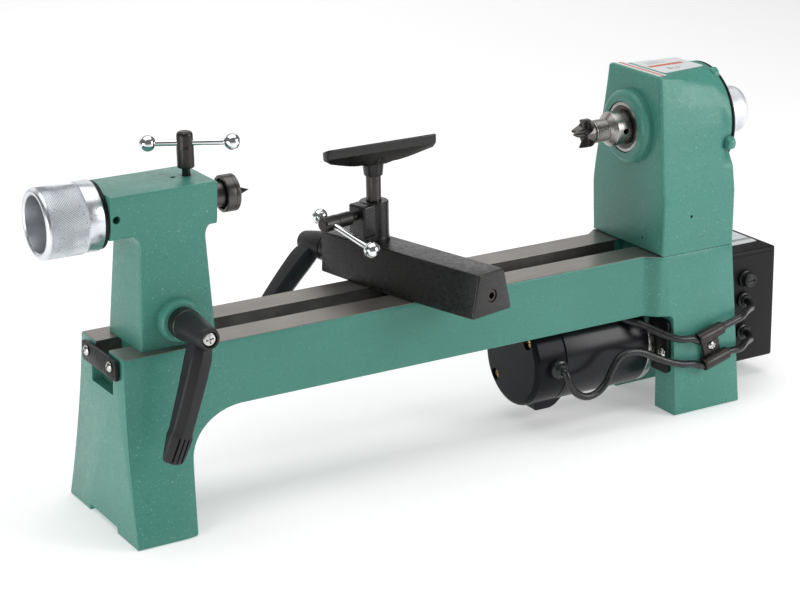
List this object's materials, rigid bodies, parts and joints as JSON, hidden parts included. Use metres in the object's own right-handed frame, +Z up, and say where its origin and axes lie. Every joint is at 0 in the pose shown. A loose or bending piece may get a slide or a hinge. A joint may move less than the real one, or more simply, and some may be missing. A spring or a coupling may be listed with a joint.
{
  "type": "benchtop wood lathe",
  "caption": "Benchtop wood lathe: cast bed on two feet, belt-driven headstock, sliding tailstock with live centre, tool rest on a swivelling carrier.",
  "frame": {"origin": "on the bench, under the middle of the machine's bounding box", "axes": "+X along the bed towards the headstock, +Y across the bed towards the operator, +Z up"},
  "size_m": [0.6738, 0.2163, 0.2942],
  "materials": {
    "green_paint": "cast-textured green machine enamel",
    "black_paint": "satin black paint",
    "black_plastic": "matt black moulded plastic",
    "black_rubber": "black rubber or soft plastic",
    "bright_steel": "turned or ground steel",
    "dark_steel": "blackened steel",
    "aluminium": "turned aluminium, knurled grip",
    "chrome": "polished chrome",
    "brass": "yellow-plated screws"
  },
  "bodies": {
    "lathe": {"bed_casting": "green_paint", "bed_stop_plate": "black_paint", "stop_screw_near": "bright_steel", "stop_screw_far": "bright_steel", "headstock_casting": "green_paint", "front_bearing": "bright_steel", "rear_bearing": "bright_steel", "belt_cover": "black_paint", "drive_belt": "black_rubber", "motor_end_bell": "black_paint", "motor_housing": "black_paint", "motor_front_ring": "bright_steel", "tie_bolt_near": "brass", "tie_bolt_far": "brass", "motor_plate": "black_paint", "motor_plate_screw": "bright_steel", "control_box": "black_paint", "control_panel": "black_paint", "mains_gland": "black_rubber", "box_gland_upper": "black_rubber", "box_gland_lower": "black_rubber", "motor_gland": "black_rubber", "sensor_gland": "black_rubber", "motor_lead": "black_rubber", "sensor_lead": "black_rubber", "lead_clip": "black_paint", "lead_clip_screw": "bright_steel", "fuse_cap": "black_plastic"},
    "motor_rotor": {"motor_shaft": "bright_steel", "motor_pulley": "aluminium"},
    "spindle_set": {"spindle": "bright_steel", "spur_centre": "dark_steel", "spindle_pulley": "aluminium", "spindle_handwheel": "aluminium"},
    "speed_dial": {"speed_knob": "black_plastic"},
    "rocker": {"power_switch": "black_plastic"},
    "tailstock": {"tailstock_casting": "green_paint", "thrust_collar": "black_paint", "tailstock_clamp_bolt": "dark_steel", "tailstock_clamp_plate": "dark_steel"},
    "feed_wheel": {"tailstock_handwheel": "aluminium", "quill_screw": "bright_steel"},
    "quill_set": {"quill": "bright_steel", "live_centre_arbor": "dark_steel"},
    "live_centre": {"live_centre_cup": "dark_steel"},
    "quill_lock": {"quill_lock_screw": "dark_steel"},
    "quill_bar": {"quill_lock_bar": "chrome"},
    "tailstock_lever": {"tailstock_clamp_shaft": "dark_steel", "tailstock_handle_screw": "bright_steel"},
    "tailstock_grip": {"tailstock_lock_handle": "black_plastic"},
    "rest_clamp": {"banjo_clamp_plate": "dark_steel"},
    "rest_pivot": {"banjo_clamp_bolt": "dark_steel"},
    "banjo": {"banjo_casting": "black_paint"},
    "banjo_lever": {"banjo_cam_rod": "dark_steel", "banjo_handle_screw": "bright_steel"},
    "banjo_grip": {"banjo_lock_handle": "black_plastic"},
    "rest_post": {"tool_rest_post": "bright_steel"},
    "rest_blade": {"tool_rest": "black_paint"},
    "rest_lock": {"rest_lock_screw": "dark_steel"},
    "rest_bar": {"rest_lock_bar": "chrome"}
  },
  "joints": [
    {"name": "motor_spin", "type": "hinge", "parent": "lathe", "child": "motor_rotor", "pos_m": [0.1596, -0.00173, 0.0565], "axis": [1, 0, 0], "continuous": true},
    {"name": "spindle_spin", "type": "hinge", "parent": "lathe", "child": "spindle_set", "pos_m": [0.1796, -0.00673, 0.2418], "axis": [1, 0, 0], "continuous": true},
    {"name": "speed_knob_turn", "type": "hinge", "parent": "lathe", "child": "speed_dial", "pos_m": [0.3026, 0.05527, 0.088], "axis": [0, -1, 0], "range_deg": [0, 270]},
    {"name": "power_switch_rock", "type": "hinge", "parent": "lathe", "child": "rocker", "pos_m": [0.3026, 0.05427, 0.048], "axis": [0, 0, 1], "range_deg": [0, 19]},
    {"name": "tailstock_slide", "type": "slide", "parent": "lathe", "child": "tailstock", "axis": [1, 0, 0], "range_m": [-0.02, 0.06]},
    {"name": "feed_wheel_turn", "type": "hinge", "parent": "tailstock", "child": "feed_wheel", "pos_m": [-0.2904, -0.00673, 0.2418], "axis": [1, 0, 0], "range_deg": [-504, 6480]},
    {"name": "quill_slide", "type": "slide", "parent": "tailstock", "child": "quill_set", "axis": [1, 0, 0], "range_m": [-0.0035, 0.045]},
    {"name": "live_centre_spin", "type": "hinge", "parent": "quill_set", "child": "live_centre", "pos_m": [-0.1804, -0.00673, 0.2418], "axis": [1, 0, 0], "continuous": true},
    {"name": "quill_lock_turn", "type": "hinge", "parent": "tailstock", "child": "quill_lock", "pos_m": [-0.2154, -0.00673, 0.27], "axis": [0, 0, 1], "range_deg": [0, 180]},
    {"name": "quill_bar_slide", "type": "slide", "parent": "quill_lock", "child": "quill_bar", "axis": [0.878, -0.4787, 0], "range_m": [-0.0212, 0.0142]},
    {"name": "tailstock_lever_turn", "type": "hinge", "parent": "tailstock", "child": "tailstock_lever", "pos_m": [-0.2404, -0.00673, 0.16], "axis": [0, -1, 0], "range_deg": [0, 75]},
    {"name": "tailstock_grip_lift", "type": "slide", "parent": "tailstock_lever", "child": "tailstock_grip", "axis": [0, -1, 0], "range_m": [0, 0.0045], "stiffness_N_per_m": 400, "springref_m": -0.004},
    {"name": "banjo_travel", "type": "slide", "parent": "lathe", "child": "rest_clamp", "axis": [1, 0, 0], "range_m": [-0.05, 0.08]},
    {"name": "banjo_swivel", "type": "hinge", "parent": "rest_clamp", "child": "rest_pivot", "pos_m": [-0.03225, -0.00673, 0.15], "axis": [0, 0, 1], "range_deg": [-30, 22]},
    {"name": "banjo_reach", "type": "slide", "parent": "rest_pivot", "child": "banjo", "axis": [-0.2419, 0.9703, 0], "range_m": [-0.011, 0.045]},
    {"name": "banjo_lever_turn", "type": "hinge", "parent": "banjo", "child": "banjo_lever", "pos_m": [-0.0396, 0.02277, 0.1555], "axis": [0.2419, -0.9703, 0], "range_deg": [0, 80]},
    {"name": "banjo_grip_lift", "type": "slide", "parent": "banjo_lever", "child": "banjo_grip", "axis": [-0.2419, 0.9703, 0], "range_m": [0, 0.0045], "stiffness_N_per_m": 400, "springref_m": -0.004},
    {"name": "rest_height", "type": "slide", "parent": "banjo", "child": "rest_post", "axis": [0, 0, 1], "range_m": [-0.018, 0.012]},
    {"name": "rest_swivel", "type": "hinge", "parent": "rest_post", "child": "rest_blade", "pos_m": [-0.0396, 0.02277, 0.22], "axis": [0, 0, 1], "range_deg": [-60, 60]},
    {"name": "rest_lock_turn", "type": "hinge", "parent": "banjo", "child": "rest_lock", "pos_m": [-0.0396, 0.02277, 0.1975], "axis": [0.9703, 0.2419, 0], "range_deg": [0, 90]},
    {"name": "rest_bar_slide", "type": "slide", "parent": "rest_lock", "child": "rest_bar", "axis": [0.234, -0.9385, -0.2538], "range_m": [-0.0338, 0]}
  ],
  "couplings": [
    {"joint": "spindle_spin", "follows": "motor_spin", "ratio": 0.5455},
    {"joint": "quill_slide", "follows": "feed_wheel_turn", "m_per_rad": 0.00039789}
  ]
}
